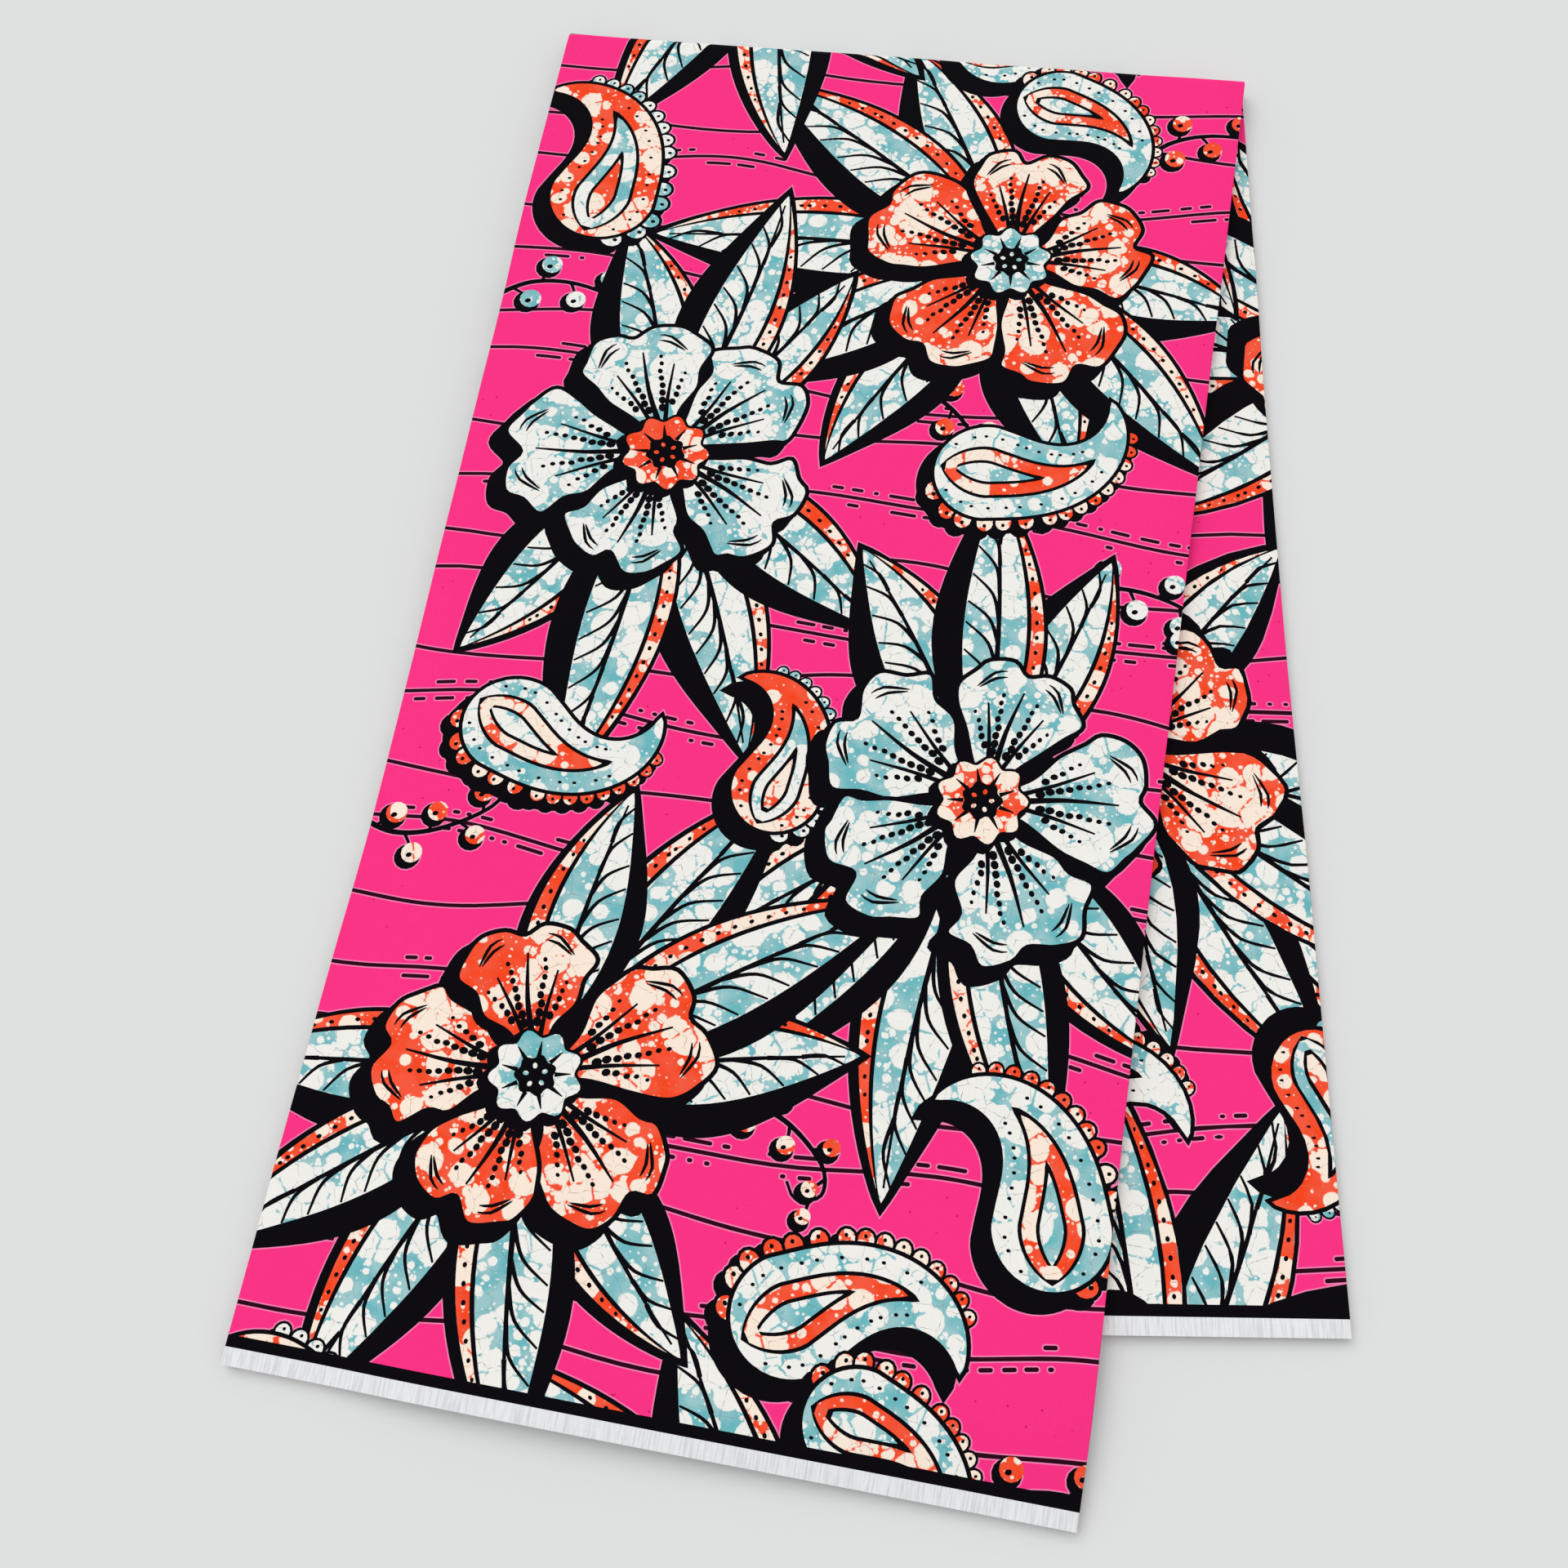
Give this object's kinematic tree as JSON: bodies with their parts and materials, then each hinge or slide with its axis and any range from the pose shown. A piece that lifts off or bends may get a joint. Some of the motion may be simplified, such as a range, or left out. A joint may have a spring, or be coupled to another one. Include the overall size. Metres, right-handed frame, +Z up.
{
  "type": "folded ankara fabric",
  "caption": "Length of printed cotton, pleated lengthwise into a flat strip and folded over at a slightly slanted crease, so that its back shows as a wedge beside its front.",
  "frame": {"origin": "bottom centre of the bounding box, on the surface that the folded cloth lies on", "axes": "+X across the front pack, from its left side to its right, +Y along the front pack from its selvedge to the fold, +Z up through the pile"},
  "size_m": [0.3962, 0.6168, 0.0104],
  "materials": {
    "printed_cotton": "matt plain-weave cotton with a wax-style print on a hot pink ground",
    "cotton_edges": "folded edges of the same printed cotton",
    "printed_cotton_back": "matt plain-weave cotton with a wax-style print on a hot pink ground"
  },
  "bodies": {
    "root": {"front_leaf": "printed_cotton", "hidden_leaves": "cotton_edges", "back_leaf": "printed_cotton_back"}
  },
  "joints": []
}
